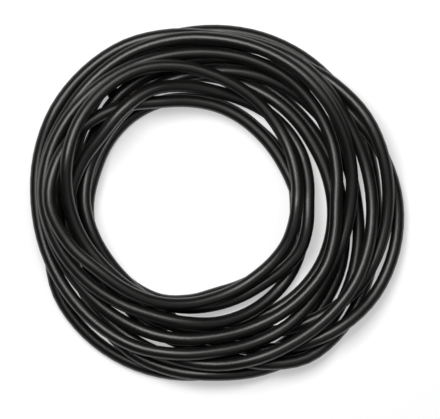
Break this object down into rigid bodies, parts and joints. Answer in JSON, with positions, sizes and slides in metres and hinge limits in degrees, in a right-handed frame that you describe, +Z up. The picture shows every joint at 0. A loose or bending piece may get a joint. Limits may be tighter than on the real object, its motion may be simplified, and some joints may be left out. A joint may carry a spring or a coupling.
{
  "type": "soaker hose",
  "caption": "Black soaker hose put away as a loose round pile of loops, with a swivel inlet coupling and a capped male end underneath.",
  "frame": {"origin": "on the ground under the middle of the pile's box", "axes": "+Z up from the ground, +X across the pile's widest way, with the couplings on its -X side"},
  "size_m": [0.4721, 0.4517, 0.1017],
  "materials": {
    "hose": "smooth satin black, made from recycled rubber",
    "brass": "turned, satin",
    "ferrule": "crimped sheet, satin",
    "seal": "soft washer rubber",
    "disc": "moulded",
    "cap": "moulded, fine fluting"
  },
  "bodies": {
    "hose_line": {"hose": "hose", "inlet_stem": "brass", "inlet_ferrule": "ferrule", "flow_disc": "disc", "outlet_stem": "brass", "outlet_ferrule": "ferrule"},
    "nut": {"swivel_nut": "brass", "inlet_washer": "seal"},
    "cap": {"end_cap": "cap", "cap_washer": "seal"}
  },
  "joints": [
    {"name": "nut_swivel", "type": "hinge", "parent": "hose_line", "child": "nut", "pos_m": [-0.2064, 0.0485, 0.016], "axis": [0, 1, 0], "continuous": true},
    {"name": "cap_screw", "type": "hinge", "parent": "hose_line", "child": "cap", "pos_m": [-0.0884, 0.15172, 0.016], "axis": [-0.866, -0.5, 0], "continuous": true}
  ]
}
